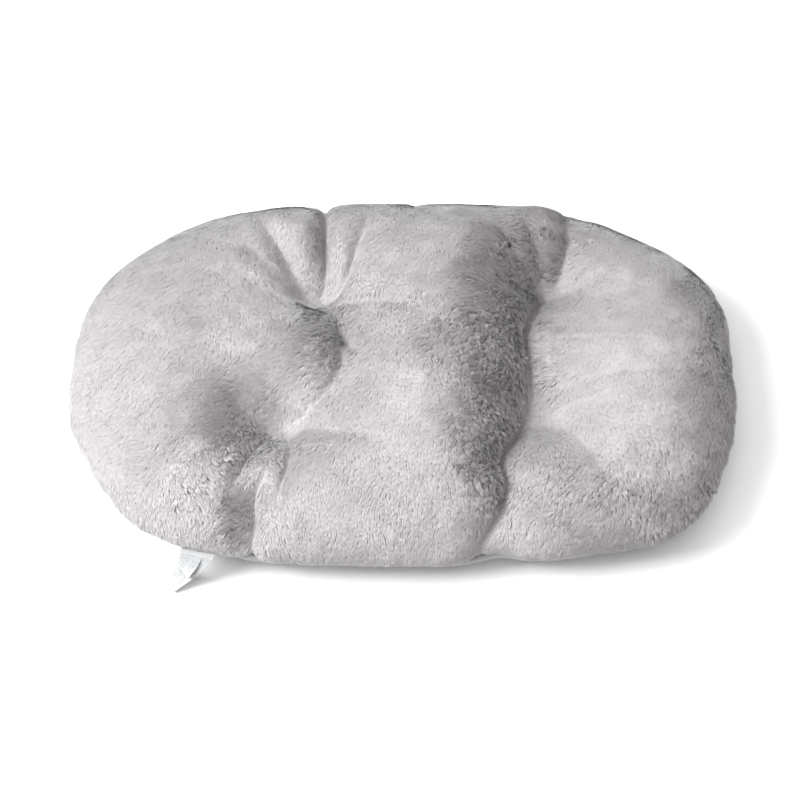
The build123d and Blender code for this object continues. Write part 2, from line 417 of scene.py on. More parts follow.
def fold_depth(x, y, path, banks):
    """How deep a fold is at each place, falling off to either side of its path, and how deep its slit is."""
    left, right, sharpness, slit = banks
    path = metres(path)
    curve = smooth_path(path)
    best = np.full(x.shape, np.inf)
    depth = np.zeros(x.shape)
    side = np.zeros(x.shape)
    for start, end in zip(curve[:-1], curve[1:]):
        run = end[:2] - start[:2]
        t = ((x - start[0]) * run[0] + (y - start[1]) * run[1]) / (run @ run)
        t = np.clip(t, 0, 1)
        dx = x - start[0] - t * run[0]
        dy = y - start[1] - t * run[1]
        away = np.hypot(dx, dy)
        nearer = away < best
        best = np.where(nearer, away, best)
        depth = np.where(nearer, start[2] + t * (end[2] - start[2]), depth)
        turned = (run[0] * dy - run[1] * dx) / (np.hypot(*run) * np.maximum(away, 1e-9))
        side = np.where(nearer, turned, side)
    width = metres(right) + (metres(left) - metres(right)) * (0.5 + 0.5 * side)
    slit_depth = metres(slit) * depth / path[:, 2].max() * np.exp(-(best / SLIT_WIDTH) ** 2)
    return depth * np.exp(-(best / width) ** sharpness), slit_depth


def all_folds(x, y):
    """The depth of all the folds together, and of their slits."""
    folds = np.zeros(x.shape)
    slits = np.zeros(x.shape)
    for path, banks in FOLDS.values():
        depth, slit = fold_depth(x, y, path, banks)
        folds += depth
        slits += slit
    return folds, slits


def fold_share(z):
    """How much of its depth a fold has at each height, less towards the seam, and the share of the climb."""
    inward = np.clip((z - SEAM_Z) / TOP_RISE, 0, 1)
    return FOLD_AT_SEAM + (1 - FOLD_AT_SEAM) * inward, inward


def tuft_depth(x, y, spread):
    """How far the ties draw a panel in, as a share of the way to the tuft's floor."""
    share = np.zeros(x.shape)
    for place in TUFTS.values():
        away = np.hypot(x - place[0], y - place[1])
        share = np.maximum(share, np.exp(-(away / spread) ** TUFT_SHARPNESS))
    return share


def lobe_height(x, y):
    """The broad swellings and hollows of the top."""
    height = np.zeros(x.shape)
    for lobe_x, lobe_y, length, width, turn, amount in LOBES:
        turn = math.radians(turn)
        c, s = math.cos(turn), math.sin(turn)
        dx = x - metres(lobe_x)
        dy = y - metres(lobe_y)
        along = (dx * c + dy * s) / metres(length)
        across = (dy * c - dx * s) / metres(width)
        height += metres(amount) * np.exp(-along**2 - across**2)
    return height


def shaped_top():
    """The top with its lobes, folds and tufts, how firmly each point is held, and the way out of it."""
    grid = panel_grid(TOP_REACH, TOP_RISE)
    normal = grid_normals(grid, 1)
    x, y, z = np.moveaxis(grid, 2, 0)
    share, inward = fold_share(z)
    folds = all_folds(x, y)[0] * (1 - PRESSED_AFTER)
    lobes = lobe_height(x, y) * inward
    moved = grid + normal * (lobes - folds * share)[..., None]
    tufts = tuft_depth(x, y, TUFT_SPREAD_TOP)
    moved[..., 2] += np.minimum(TUFT_FLOOR_TOP - moved[..., 2], 0) * tufts
    held = np.clip(folds / FOLD_HOLDS_AT, 0, FOLD_HOLDS) ** 1.5
    held = np.maximum(held, np.where(tufts > TIE_HOLDS, 1.0, 0.0))
    held = np.maximum(held, SEAM_HOLDS * np.clip(1 - inward / SEAM_HOLDS_TO, 0, 1))
    return moved, held, normal


def shaped_underside():
    """The underside with its tufts, flat where it rests on the floor, and how firmly each point is held."""
    moved = panel_grid(BOTTOM_REACH, -SEAM_Z, UNDER_TUCK)
    x, y, z = np.moveaxis(moved, 2, 0)
    tufts = tuft_depth(x, y, TUFT_SPREAD_BOTTOM)
    held = np.where((z < FLAT_HOLDS) | (tufts > TIE_HOLDS), 1.0, 0.0)
    moved[..., 2] += (TUFT_FLOOR_BOTTOM - z) * tufts
    return moved, held


def new_object(name, data):
    """A new object in the scene."""
    obj = bpy.data.objects.new(name, data)
    bpy.context.scene.collection.objects.link(obj)
    return obj


def make_mesh(name, points, faces):
    """A mesh object from arrays of points and faces."""
    mesh = bpy.data.meshes.new(name)
    mesh.from_pydata(np.asarray(points).tolist(), [], [list(f) for f in faces])
    mesh.update()
    return new_object(name, mesh)


def read_vectors(data, name):
    """One vector for each item of a Blender list, as an array."""
    values = np.zeros(len(data) * 3)
    data.foreach_get(name, values)
    return values.reshape(-1, 3)


def grid_faces(index, flip=False):
    """The quads of a grid of point numbers."""
    a, b, c, d = index[:-1, :-1], index[1:, :-1], index[1:, 1:], index[:-1, 1:]
    quads = np.stack([a, d, c, b] if flip else [a, b, c, d], axis=-1)
    return quads.reshape(-1, 4)


TOP_INDEX = np.arange((ALONG + 1) * (ACROSS + 1)).reshape(ALONG + 1, ACROSS + 1)
UNDER_INDEX = TOP_INDEX.copy()  # the same along the seam, and its own points inside it
UNDER_INNER = np.arange((ALONG - 1) * (ACROSS - 1)).reshape(ALONG - 1, ACROSS - 1)
UNDER_INDEX[1:-1, 1:-1] = TOP_INDEX.size + UNDER_INNER


def closed_points(top, under):
    """The points of both panels in one list, with the seam's points once."""
    return np.vstack([top.reshape(-1, top.shape[-1]), under[1:-1, 1:-1].reshape(-1, under.shape[-1])])


def closed_faces():
    """The quads of both panels."""
    return np.vstack([grid_faces(TOP_INDEX), grid_faces(UNDER_INDEX, flip=True)])


def blown_up(points, held):
    """Where the cloth simulation leaves the closed shape's points."""
    obj = make_mesh("blowing_up", points, closed_faces())
    group = obj.vertex_groups.new(name="held")
    for number, weight in enumerate(held):
        if weight > HELD_ABOVE:
            group.add([number], float(weight), "REPLACE")
    cloth = obj.modifiers.new("cloth", "CLOTH")
    settings = cloth.settings
    settings.quality = 6
    settings.mass = 0.3
    settings.tension_stiffness = 12
    settings.compression_stiffness = 12
    settings.bending_stiffness = 0.8
    settings.vertex_group_mass = "held"
    settings.pin_stiffness = 3
    settings.use_pressure = True
    settings.uniform_pressure_force = PRESSURE
    settings.effector_weights.gravity = 0
    cloth.collision_settings.use_collision = False
    scene = bpy.context.scene
    for step in range(1, SIMULATED_FRAMES + 1):
        scene.frame_set(step)
    evaluated = obj.evaluated_get(bpy.context.evaluated_depsgraph_get())
    found = read_vectors(evaluated.data.vertices, "co")
    scene.frame_set(1)
    bpy.data.objects.remove(obj)
    return found


def puckers(grid):
    """How far the gathers along the seam draw the cloth in."""
    x, y, z = np.moveaxis(grid, 2, 0)
    angle = np.arctan2(y / HALF_WIDTH, x / HALF_LENGTH)
    around = np.stack([np.cos(angle), np.sin(angle), np.zeros(x.shape)], axis=-1) * HALF_LENGTH
    gather = np.clip(0.5 + 1.2 * noise(around.reshape(-1, 3), PUCKER_WIDTH, 31), 0, 1).reshape(x.shape)
    away = np.abs(z - SEAM_Z)
    return PUCKER_DEPTH * gather * (1 - np.exp(-away / PUCKER_START)) * np.exp(-(away / PUCKER_REACH) ** 2)


def final_panels():
    """Both panels' grids after the simulation, and the way out of the top."""
    top, top_held, outward = shaped_top()
    under, under_held = shaped_underside()
    points = closed_points(top, under)
    held = closed_points(top_held[..., None], under_held[..., None])[:, 0]
    move = blown_up(points, held) - points
    size = np.linalg.norm(move, axis=1, keepdims=True)
    points = points + move * np.minimum(1, FURTHEST_MOVE / np.maximum(size, 1e-9))
    points[:, 2] = np.maximum(points[:, 2], 0)
    top, under = points[TOP_INDEX], points[UNDER_INDEX]
    top = top - grid_normals(top, 1) * puckers(top)[..., None]
    under = under - grid_normals(under, -1) * puckers(under)[..., None]
    return top, under, outward


def pressed_in(points, outward):
    """The points with the folds' last share and their slits pressed in, and how deep in a slit each is."""
    x, y, z = points[..., 0], points[..., 1], points[..., 2]
    folds, slits = all_folds(x, y)
    clear = np.ones(x.shape)
    for place in TUFTS.values():
        clear *= 1 - np.exp(-((x - place[0]) ** 2 + (y - place[1]) ** 2) / PRESSED_CLEAR**2)
    depth = (folds * PRESSED_AFTER + slits) * clear * fold_share(z)[0]
    return points - outward * depth[..., None], slits


# --- Materials ---

def new_material(name, color, roughness):
    """A Principled material, and its shader node."""
    material = bpy.data.materials.new(name)
    material.use_nodes = True
    shader = material.node_tree.nodes["Principled BSDF"]
    shader.inputs["Base Color"].default_value = (*color, 1)
    shader.inputs["Roughness"].default_value = roughness
    return material, shader


def pile_material(name, tone):
    """One shade of the pile's fibres."""
    material, shader = new_material(name, (tone, tone * PILE_TINT, tone * PILE_TINT), 0.7)
    shader.inputs["Sheen Weight"].default_value = 0.35
    shader.inputs["Sheen Roughness"].default_value = 0.4
    shader.inputs["Specular IOR Level"].default_value = 0.3
    return material


def add_node(material, kind, inputs=(), **settings):
    """A shader node with its settings, and its inputs as pairs of name and value or socket."""
    node = material.node_tree.nodes.new("ShaderNode" + kind)
    for name, value in settings.items():
        setattr(node, name, value)
    for name, value in inputs:
        if isinstance(value, bpy.types.NodeSocket):
            material.node_tree.links.new(value, node.inputs[name])
        else:
            node.inputs[name].default_value = value
    return node


def band_scale(period):
    """The wave texture's scale for bands that far apart."""
    return 2 * math.pi / 20 / period


def finish_material(material, shader, factor, dark, light, height, relief, strength):
    """Colours a material from dark to light by one socket, and gives it relief by another."""
    ramp = add_node(material, "ValToRGB", [("Fac", factor)])
    for element, position, color in zip(ramp.color_ramp.elements, (0.3, 0.7), (dark, light)):
        element.position = position
        element.color = (*color, 1)
    bump = add_node(material, "Bump", [
        ("Height", height), ("Distance", relief), ("Strength", strength)])
    links = material.node_tree.links
    links.new(ramp.outputs["Color"], shader.inputs["Base Color"])
    links.new(bump.outputs["Normal"], shader.inputs["Normal"])


def cloth_material(name, dark, light, period, patch, roughness, relief, sheen=0.0):
    """Cloth in plain weave: threads over and under each other, with worn and darker patches."""
    material, shader = new_material(name, light, roughness)
    shader.inputs["Sheen Weight"].default_value = sheen
    place = add_node(material, "TexCoord").outputs["Object"]
    patches = add_node(material, "TexNoise", [
        ("Vector", place), ("Scale", 1 / patch), ("Detail", 6.0)])
    shared = [("Vector", place), ("Scale", band_scale(period)), ("Distortion", 0.6), ("Detail", 1.0)]
    warp = add_node(material, "TexWave", shared, bands_direction="X")
    weft = add_node(material, "TexWave", shared, bands_direction="Y")
    over = add_node(material, "TexChecker", [("Vector", place), ("Scale", 1 / period)])
    weave = add_node(material, "Mix", [
        ("Factor", over.outputs["Fac"]), ("A", warp.outputs["Fac"]), ("B", weft.outputs["Fac"])])
    threads = add_node(material, "Math", [
        (0, weave.outputs["Result"]), (1, 0.25)], operation="MULTIPLY")
    shade = add_node(material, "Math", [
        (0, patches.outputs["Fac"]), (1, 0.75), (2, threads.outputs["Value"])], operation="MULTIPLY_ADD")
    finish_material(
        material, shader, shade.outputs["Value"], dark, light, weave.outputs["Result"], relief, 0.8)
    return material


def fibre_material(name, dark, light, grain, relief, roughness):
    """Loose or spun fibre: fine streaks of light and dark."""
    material, shader = new_material(name, light, roughness)
    place = add_node(material, "TexCoord").outputs["Object"]
    streaks = add_node(material, "TexNoise", [
        ("Vector", place), ("Scale", 1 / grain), ("Detail", 8.0), ("Distortion", 2.5)]).outputs["Fac"]
    finish_material(material, shader, streaks, dark, light, streaks, relief, 0.7)
    return material


# --- Pile ---

Clumps = namedtuple("Clumps", "place astray lift tip tone")


def layered(start, layers, place):
    """A value with layers of noise added to it, each with its amount, grain and seed."""
    for amount, grain, seed in layers:
        start = start + amount * noise(place, grain, seed)
    return start


def unit(vectors):
    """The vectors at a length of 1."""
    return vectors / np.maximum(np.linalg.norm(vectors, axis=-1, keepdims=True), 1e-12)


def scattered(surface, count, rng):
    """That many random points evenly over the surface: their places, normals and depths in a slit."""
    points, normals, slits, quads = surface
    corner = points[quads]
    area = np.linalg.norm(np.cross(corner[:, 2] - corner[:, 0], corner[:, 3] - corner[:, 1]), axis=1)
    chosen = quads[rng.choice(len(quads), count, p=area / area.sum())]
    u, v = rng.random((2, count, 1))
    shares = ((1 - u) * (1 - v), u * (1 - v), u * v, (1 - u) * v)
    place, normal, slit = (
        sum(share * values[chosen[:, k]] for k, share in enumerate(shares))
        for values in (points, normals, slits[:, None])
    )
    return place, unit(normal), slit


def ruffled_places(place):
    """How much the patches ruffle each place, and how far they turn its pile against the nap."""
    ruffle = np.zeros(len(place))
    against = np.zeros(len(place))
    for x, y, wide, deep, amount, turned in RUFFLED:
        across = (place[:, 0] - metres(x)) / metres(wide)
        back = (place[:, 1] - metres(y)) / metres(deep)
        share = np.exp(-across**2 - back**2)
        ruffle += amount * share
        against += turned * share
    return ruffle, against


def brushing(place, normal):
    """The direction along the cloth in which the pile lies."""
    turn = layered(BRUSHED, SWIRLS, place)
    against = ruffled_places(place)[1] + SLOPES_AGAINST * np.clip(normal[:, 0], 0, 1)
    turn -= math.radians(AGAINST_THE_NAP) * against
    down = DOWNHILL * (1 - np.clip(normal[:, 2], 0, 1))
    way = np.stack([np.cos(turn), np.sin(turn), -down], axis=1)
    return unit(way - normal * (way * normal).sum(1, keepdims=True))


def ruffling(place, normal):
    """How ruffled the pile is, from 0 where it is brushed flat to 1."""
    facing = np.clip(0.9 * normal[:, 0] - 0.3 * normal[:, 1], 0, 1)
    ruffle = layered(RUFFLED_ALL_OVER, RUFFLE_SWELLS, place) + RUFFLED_SLOPES * facing
    ruffle += ruffled_places(place)[0]
    return np.clip(ruffle * layered(1, RUFFLE_BREAKS, place), LEAST_RUFFLED, 1)


def ruffled(values, ruffle):
    """A value that ruffling adds to, at each place."""
    flat, more = values
    return flat + more * ruffle


def blade_ends(place, normal, lean, ruffle, length, lift):
    """The way blades set out, and where their middles and tips are."""
    root_lift = ruffled(ROOT_LIFT, ruffle) * lift
    tip_lift = ruffled(TIP_LIFT, ruffle) * lift
    first = unit(lean * np.cos(root_lift) + normal * np.sin(root_lift))
    second = unit(lean * np.cos(tip_lift) + normal * np.sin(tip_lift))
    middle = place + first * length * BLADE_BEND
    return first, middle, middle + second * length * (1 - BLADE_BEND)


def nearest_clumps(place, clump_place):
    """The number of the clump nearest to each blade."""
    tree = KDTree(len(clump_place))
    for number, spot in enumerate(clump_place.tolist()):
        tree.insert(spot, number)
    tree.balance()
    return np.array([tree.find(spot)[1] for spot in place.tolist()])


def make_clumps(surface, rng):
    """The bunches that blades lean towards."""
    place, normal = scattered(surface, CLUMPS, rng)[:2]
    ruffle = ruffling(place, normal)[:, None]
    along = brushing(place, normal)
    astray = np.cross(normal, along) * rng.normal(0, 1, (CLUMPS, 1)) * ruffled(CLUMP_ASTRAY, ruffle)
    lift = np.exp(rng.normal(0, CLUMP_LIFT, (CLUMPS, 1)) * ruffle**2)
    tip = blade_ends(place, normal, unit(along + astray), ruffle, BLADE_LENGTH, lift)[2]
    # each clump's random tone, whose brighter side also sets painted glints
    tone = rng.normal(0, 1, CLUMPS)
    return Clumps(place, astray, lift, tip, tone)


def grow_blades(surface, clumps, rng):
    """The blades' places, how ruffled they are, their clumps, their points and their shading normals."""
    count = PILE_PIECES * BLADES_IN_A_PIECE
    place, normal, slit = scattered(surface, count, rng)
    clump = nearest_clumps(place, clumps.place)
    ruffle = ruffling(place, normal)[:, None]
    short = 1 - SLIT_SHORTENS * np.clip(slit / SLIT_SHORTENS_AT, 0, 1)
    along = brushing(place, normal)
    jitter = rng.normal(0, 1, (count, 3)) * ruffled(BLADE_ASTRAY, ruffle)
    lean = unit(along + clumps.astray[clump] * CLUMP_LEAN + np.cross(normal, along) * jitter[:, :1])
    grown = BLADE_SHORTEST + 0.2 * rng.random((count, 1)) + RUFFLED_LONGER * ruffle
    length = BLADE_LENGTH * grown * short
    lift = clumps.lift[clump] * (1 + jitter[:, 1:2])
    root = place + normal * rng.uniform(*ROOTS, (count, 1)) * MM * ruffled(ROOT_HEIGHT, ruffle)
    first, middle, tip = blade_ends(root, normal, lean, ruffle, length, lift)
    pull = ruffled(CLUMP_PULL, ruffle**2) * short
    toward = clumps.tip[clump] - tip
    distance = np.linalg.norm(toward, axis=1, keepdims=True)
    toward *= np.minimum(1, BLADE_LENGTH / np.maximum(distance, 1e-9))
    middle = middle + toward * pull * MIDDLE_PULL
    tip = tip + toward * pull
    roll = jitter[:, 2:] * BLADE_ROLL
    width = unit(np.cross(first, normal)) * np.cos(roll) + normal * np.sin(roll)
    half = width * BLADE_WIDTH * (0.4 + 0.2 * rng.random((count, 1)))
    waist = half * 0.9
    points = np.stack([root - half, root + half, middle + waist, middle - waist, tip], axis=1)
    follow = CLOTH_SHARE - RUFFLED_OWN * ruffle
    shading = unit(follow * (normal - NAP * lean) + (1 - follow) * unit(np.cross(width, first)))
    return place, ruffle[:, 0], clump, points, shading


def blade_tones(place, ruffle, clump_tone_and_glint, rng):
    """The materials' numbers for each blade's lower and upper half."""
    shade = layered(MIDDLE_TONE, TONE_SWELLS, place)
    # Ruffled clumps stray in tone at random, and a few are made brighter still as painted glints
    shade += ruffle**2 * (clump_tone_and_glint + np.maximum(clump_tone_and_glint - 1, 0)) * CLUMP_TONES_AND_GLINTS
    shade += rng.normal(0, 1, len(place)) * ruffled(TONE_STRAY, ruffle)
    step = TIP_TONES[1] - TIP_TONES[0]
    tone = np.clip(np.round((shade - TIP_TONES[0]) / step), 0, len(TIP_TONES) - 1).astype(int)
    # Painted shade on the lower halves where ruffled, which is more so on slopes facing right, away from the
    # window light
    painted_shade_root = ruffle > rng.uniform(*PAINTED_SHADE_ROOTS, len(place))
    return np.stack([tone + len(TIP_TONES) * painted_shade_root, tone], axis=1)


def make_pile(surface):
    """The plush's pile, as pieces of fine blades that bunch together at their tips."""
    rng = np.random.default_rng(11)
    clumps = make_clumps(surface, rng)
    place, ruffle, clump, points, shading = grow_blades(surface, clumps, rng)
    slots = blade_tones(place, ruffle, clumps.tone[clump], rng)
    materials = [pile_material(f"plush_tip_{k}", tone) for k, tone in enumerate(TIP_TONES)]
    # Painted shade: darker copies of the tip materials for the blades' lower halves, for the shade deep in
    # the pile
    materials += [pile_material(f"plush_shaded_root_{k}", tone * ROOT_PAINTED_SHADE) for k, tone in enumerate(TIP_TONES)]
    order = np.argsort(place[:, 0])
    for number, chosen in enumerate(np.array_split(order, PILE_PIECES)):
        make_blades(f"plush_pile_{number + 1}", points[chosen], shading[chosen], slots[chosen], materials)


def make_blades(name, blades, shading, slots, materials):
    """One piece of pile. A blade is a quad from root to middle and a triangle to its tip."""
    count = len(blades)
    mesh = bpy.data.meshes.new(name)
    mesh.vertices.add(count * 5)
    mesh.vertices.foreach_set("co", blades.ravel())
    first = np.arange(count)[:, None] * 5
    corners = np.concatenate([first + (0, 1, 2, 3), first + (3, 2, 4)], axis=1)
    mesh.loops.add(count * 7)
    mesh.loops.foreach_set("vertex_index", corners.ravel())
    mesh.polygons.add(count * 2)
    starts = np.arange(count)[:, None] * 7 + (0, 4)
    mesh.polygons.foreach_set("loop_start", starts.ravel())
    mesh.polygons.foreach_set("material_index", slots.ravel())
    mesh.polygons.foreach_set("use_smooth", [True] * (count * 2))
    for material in materials:
        mesh.materials.append(material)
    mesh.update(calc_edges=True)
    mesh.normals_split_custom_set_from_vertices(np.repeat(shading, 5, axis=0))
    obj = new_object(name, mesh)
    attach(obj, "cushion")


# --- Cloth and filling ---

def stand_for(obj, node):
    """Puts a piece of the cushion in its CAD node's place."""
    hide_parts(node)
    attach(obj, "cushion")


def with_allowance(grid, side):
    """A panel's points and quads, with its allowance turned in just above (1) or below (-1) the seam."""
    points = grid.reshape(-1, 3)
    i, j = np.array(ring_cells(0)).T
    border = TOP_INDEX[i, j]
    edge = points[border]
    inner = edge - unit(edge * (1, 1, 0)) * ALLOWANCE
    inner[:, 2] = SEAM_Z + side * ALLOWANCE_GAP
    first = len(points)
    count = len(border)
    strip = [(border[k], border[(k + 1) % count], first + (k + 1) % count, first + k) for k in range(count)]
    if side > 0:
        strip = [quad[::-1] for quad in strip]
    quads = grid_faces(TOP_INDEX, flip=side < 0).tolist() + strip
    return np.vstack([points, inner]), quads


def panel_mesh(name, grid, side, outward=None):
    """A panel with its allowance, subdivided. Its own quads come first, and those of its allowance last."""
    points, quads = with_allowance(grid, side)
    coarse = make_mesh(name + "_coarse", points, quads)
    if outward is not None:
        out = np.zeros((len(points), 3))
        out[:outward.shape[0] * outward.shape[1]] = outward.reshape(-1, 3)
        way = coarse.data.attributes.new("outward", "FLOAT_VECTOR", "POINT")
        way.data.foreach_set("vector", out.ravel())
    coarse.modifiers.new("finer", "SUBSURF").levels = 1
    evaluated = coarse.evaluated_get(bpy.context.evaluated_depsgraph_get())
    mesh = bpy.data.meshes.new_from_object(evaluated)
    bpy.data.objects.remove(coarse)
    mesh.name = name
    obj = new_object(name, mesh)
    obj.data.shade_smooth()
    return obj


def thickened(obj, thickness, offset=-1):
    """Gives a cloth its thickness, on its inner side, or on both for an offset of 0."""
    shell = obj.modifiers.new("thickness", "SOLIDIFY")
    shell.thickness = thickness
    shell.offset = offset


def make_top_panel(grid, outward):
    """The plush's cloth with its folds pressed in. Returns the surface that the pile grows on."""
    obj = panel_mesh("plush_cloth", grid, 1, outward)
    mesh = obj.data
    out = read_vectors(mesh.attributes["outward"].data, "vector")
    mesh.attributes.remove(mesh.attributes["outward"])
    points, slits = pressed_in(read_vectors(mesh.vertices, "co"), out)
    mesh.vertices.foreach_set("co", points.ravel())
    mesh.update()
    normals = read_vectors(mesh.vertex_normals, "vector")
    quads = np.zeros(len(mesh.loops), int)
    mesh.loops.foreach_get("vertex_index", quads)
    own_quads = 4 * ALONG * ACROSS
    mesh.materials.append(cloth_material(
        "plush_backing", (0.40, 0.38, 0.38), (0.49, 0.465, 0.465),
        period=1.4 * MM, patch=25 * MM, roughness=0.9, relief=0.3 * MM))
    thickened(obj, 1.2 * MM)
    stand_for(obj, "plush_top_panel")
    return points, normals, slits, quads.reshape(-1, 4)[:own_quads]


def make_underside(grid):
    """The woven cloth under the cushion."""
    obj = panel_mesh("underside_cloth", grid, -1)
    obj.data.materials.append(cloth_material(
        "underside_weave", (0.29, 0.28, 0.28), (0.39, 0.375, 0.375),
        period=1.7 * MM, patch=30 * MM, roughness=0.85, relief=0.15 * MM, sheen=0.1))
    thickened(obj, 0.8 * MM)
    stand_for(obj, "underside_panel")


def make_filling(top, under, outward):
    """The lumpy fibre inside, clear of the cloth and the seam's allowances."""
    top = pressed_in(top, outward)[0]
    lumps = noise(top.reshape(-1, 3), 0.022, 21).reshape(*top.shape[:2], 1)
    inside_top = top - grid_normals(top, 1) * (5 + 1.5 * lumps) * MM
    inside_under = under - grid_normals(under, -1) * 2.5 * MM
    i, j = np.array(ring_cells(0)).T
    edge = top[i, j]
    inner = edge - unit(edge * (1, 1, 0)) * (ALLOWANCE + 4 * MM)
    inside_top[i, j] = inner
    inside_under[i, j] = inner
    obj = make_mesh("fibre_fill", closed_points(inside_top, inside_under), closed_faces())
    obj.data.shade_smooth()
    obj.data.materials.append(fibre_material(
        "polyester_fibre", (0.74, 0.74, 0.73), (0.92, 0.92, 0.91),
        grain=6 * MM, relief=1.5 * MM, roughness=0.8))
    stand_for(obj, "fibre_filling")


# --- Threads ---

def square_to(path):
    """Two directions square to a path at each of its points, and to each other."""
    along = unit(np.gradient(path, axis=0))
    steep = np.abs(along[:, 2]).mean() > 0.7
    side = unit(np.cross(along, (1.0, 0.0, 0.0) if steep else (0.0, 0.0, 1.0)))
    return side, np.cross(side, along)


def tube(path, radius, sides=5):
    """A closed round tube along a path: its points and its faces."""
    side, over = square_to(path)
    turns = np.linspace(0, 2 * math.pi, sides, endpoint=False)[None, :, None]
    spokes = np.cos(turns) * side[:, None] + np.sin(turns) * over[:, None]
    points = (path[:, None] + radius * spokes).reshape(-1, 3)
    faces = [tuple(range(sides)), tuple(reversed(range(len(points) - sides, len(points))))]
    for ring in range(len(path) - 1):
        for k in range(sides):
            a = ring * sides + k
            b = ring * sides + (k + 1) % sides
            faces.append((a, a + sides, b + sides, b))
    return points, faces


def twisted(path, radius):
    """A thread of that radius along a path, as tubes for its plies, which twist round each other."""
    steps = np.linalg.norm(np.diff(path, axis=0), axis=1)
    reached = np.concatenate([[0], np.cumsum(steps)])
    pitch = PLY_PITCH * radius
    count = max(4, int(reached[-1] / pitch * 8))
    spots = np.linspace(0, reached[-1], count)
    line = np.stack([np.interp(spots, reached, path[:, axis]) for axis in range(3)], axis=1)
    side, over = square_to(line)
    tubes = []
    for ply in range(PLIES):
        turn = (2 * math.pi * (spots / pitch + ply / PLIES))[:, None]
        tubes.append(tube(line + radius * 0.5 * (np.cos(turn) * side + np.sin(turn) * over), radius * 0.55))
    return tubes


def make_thread(name, tubes, node):
    """A thread piece from its tubes."""
    points, faces, first = [], [], 0
    for tube_points, tube_faces in tubes:
        points.append(tube_points)
        faces += [tuple(k + first for k in face) for face in tube_faces]
        first += len(tube_points)
    obj = make_mesh(name, np.vstack(points), faces)
    obj.data.shade_smooth()
    obj.data.materials.append(bpy.data.materials.get("thread") or fibre_material(
        "thread", (0.42, 0.41, 0.41), (0.58, 0.57, 0.57), grain=0.5 * MM, relief=0.1 * MM, roughness=0.6))
    stand_for(obj, node)


def bar_tack(x, y, z, side):
    """Strands side by side along X with stitches wrapped over them, above (1) or below (-1) the height z."""
    tubes = []
    share = np.linspace(0, 1, 9)
    arch = np.sin(math.pi * share)
    for strand in np.linspace(-0.5, 0.5, TACK_STRANDS) * 0.6:
        path = np.stack([
            x + (share - 0.5) * TACK_LENGTH,
            np.full(len(share), y + strand * TACK_WIDTH),
            z + side * (arch**0.3 * 1.2 - 0.8) * MM,
        ], axis=1)
        tubes += twisted(path, THREAD * 0.8)
    for wrap in np.linspace(-0.5, 0.5, TACK_WRAPS) * 0.8:
        path = np.stack([
            x + wrap * TACK_LENGTH + (share - 0.5) * 0.5 * MM,
            y + (share - 0.5) * TACK_WIDTH,
            z + side * (arch**0.5 * 2.0 - 1.0) * MM,
        ], axis=1)
        tubes += twisted(path, THREAD * 0.7)
    return tubes


def height_near(points, x, y):
    """The height of the point nearest to a place."""
    return points[np.argmin(np.hypot(points[:, 0] - x, points[:, 1] - y)), 2]


def make_tuft_threads(surface, under):
    """The thread through the cushion at each tuft, with a bar tack at either end."""
    for tie, (x, y) in TUFTS.items():
        top_z = height_near(surface[0], x, y)
        low_z = height_near(under.reshape(-1, 3), x, y)
        shank = np.linspace((x, y, low_z - 0.5 * MM), (x, y, top_z + 0.5 * MM), 12)
        tubes = twisted(shank, 2 * THREAD) + bar_tack(x, y, top_z, 1) + bar_tack(x, y, low_z, -1)
        make_thread("tuft_thread_" + tie, tubes, "tuft_tie_" + tie)


def make_seam_thread():
    """The lockstitches through both allowances: needle thread above them and bobbin thread below."""
    x, y = oval_points(STITCH_INSET, OVAL_SAMPLES - 1, 0)
    around = np.hypot(np.diff(x, append=x[0]), np.diff(y, append=y[0])).sum()
    count = round(around / SEAM_STITCH)
    x, y = oval_points(STITCH_INSET, count, 0)
    ends = np.stack([x, y, np.full(count, SEAM_Z)], axis=1)
    following = np.roll(ends, -1, axis=0)
    share = np.array([0, 0.12, 0.5, 0.88, 1])[:, None]
    rise = np.array([0.1, 1.3, 1.6, 1.3, 0.1])[:, None] * MM
    tubes = []
    for side in (1, -1):
        for start, end in zip(ends, following):
            path = start + (end - start) * share + (0, 0, 1) * rise * side
            tubes.append(tube(path, THREAD))
    make_thread("seam_thread", tubes, "seam_stitching")


def make_opening_thread(top, under):
    """The slanting hand stitches that close the opening in the back edge."""
    low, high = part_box("opening_stitching")
    seam, above, below = top[:, -1], top[:, -2], under[:, -2]
    order = np.argsort(seam[:, 0])
    seam, above, below = seam[order], above[order], below[order]

    def at(row, x):
        """The place along a row of points where it passes x."""
        return np.array([np.interp(x, row[:, 0], row[:, axis]) for axis in range(3)])

    rng = np.random.default_rng(5)
    proud = np.array((0, 1, 0)) * MM
    tubes = []
    for x in np.linspace(low.x, high.x, OPENING_STITCHES):
        slant = (1.6 + 0.5 * rng.standard_normal()) * MM
        middle = at(seam, x)
        start = middle + (at(below, x - slant) - middle) * 0.7
        end = middle + (at(above, x + slant) - middle) * 0.7
        path = np.stack([
            start - proud, start + proud * 0.5, middle + proud * 1.4, end + proud * 0.5, end - proud])
        tubes += twisted(path, THREAD)
    make_thread("opening_thread", tubes, "opening_stitching")


# --- Labels ---

def label_dashes(u, v):
    """Whether a spot on a label is in one of its printed rows of dashes. u and v run from 0 to 1."""
    row, in_row = divmod(u * PRINT_ROWS, 1)
    dash, in_dash = divmod(v * PRINT_DASHES + row * 0.37, 1)
    printed_row = 1 <= row <= PRINT_ROWS - 2 and row != 4
    skipped = (row * 5 + dash * 3) % 7 == 0
    return printed_row and 0.35 < in_row < 0.65 and in_dash < 0.72 and 0.22 < v < 0.86 and not skipped


